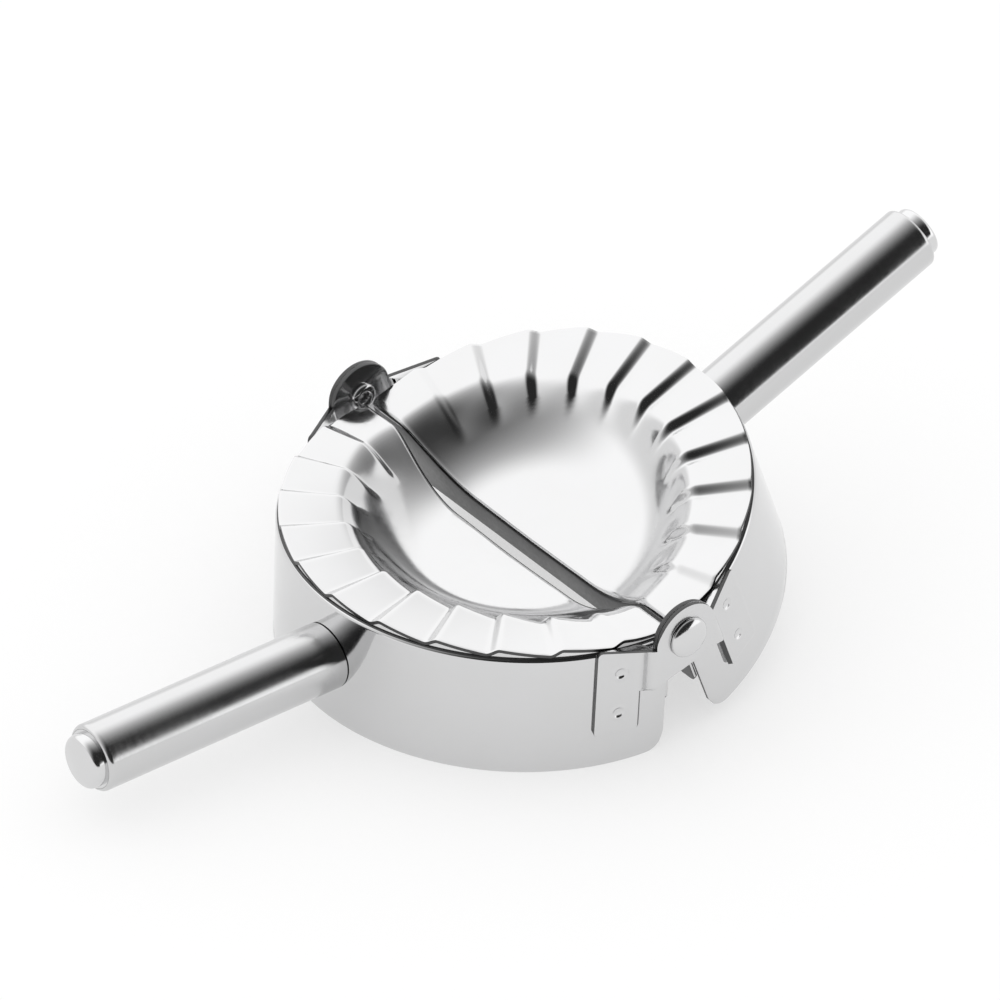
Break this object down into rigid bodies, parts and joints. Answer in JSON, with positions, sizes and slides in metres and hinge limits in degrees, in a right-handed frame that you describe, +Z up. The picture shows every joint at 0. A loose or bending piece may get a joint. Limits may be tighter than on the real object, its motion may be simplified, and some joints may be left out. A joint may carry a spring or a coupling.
{
  "type": "ravioli mold",
  "caption": "Hinged ravioli and dumpling press: pleated half-round sheet-steel moulds on round cutter skirts, folded together by tube handles.",
  "frame": {"origin": "on the supporting surface, straight below the middle of the hinge axis, which is also the middle of the press's length and width", "axes": "+Z up, +Y along the hinge axis towards the rear rivet, +X from the flat near half towards the raised far half"},
  "size_m": [0.2141, 0.108, 0.061],
  "materials": {
    "mould_steel": "mirror-polished stainless steel",
    "skirt_steel": "polished stainless steel",
    "tube_steel": "satin stainless steel, brushed round the tube",
    "hinge_steel": "smooth satin stainless steel",
    "rivet_steel": "polished stainless steel",
    "fixing_steel": "plain turned stainless steel"
  },
  "bodies": {
    "near_half": {"near_mould_plate": "mould_steel", "near_cutter_skirt": "skirt_steel", "near_handle_tube": "tube_steel", "near_handle_end_plug": "rivet_steel", "near_handle_insert": "fixing_steel", "near_handle_screw": "fixing_steel", "near_handle_washer": "fixing_steel", "near_front_hinge_leaf": "hinge_steel", "near_rear_hinge_leaf": "hinge_steel", "front_rivet": "rivet_steel", "rear_rivet": "rivet_steel"},
    "far_half": {"far_mould_plate": "mould_steel", "far_cutter_skirt": "skirt_steel", "far_handle_tube": "tube_steel", "far_handle_end_plug": "rivet_steel", "far_handle_insert": "fixing_steel", "far_handle_screw": "fixing_steel", "far_handle_washer": "fixing_steel", "far_front_hinge_leaf": "hinge_steel", "far_rear_hinge_leaf": "hinge_steel"}
  },
  "joints": [
    {"name": "mould_fold", "type": "hinge", "parent": "near_half", "child": "far_half", "pos_m": [0, 0, 0.02845], "axis": [0, -1, 0], "range_deg": [-22.5, 157.5]}
  ]
}
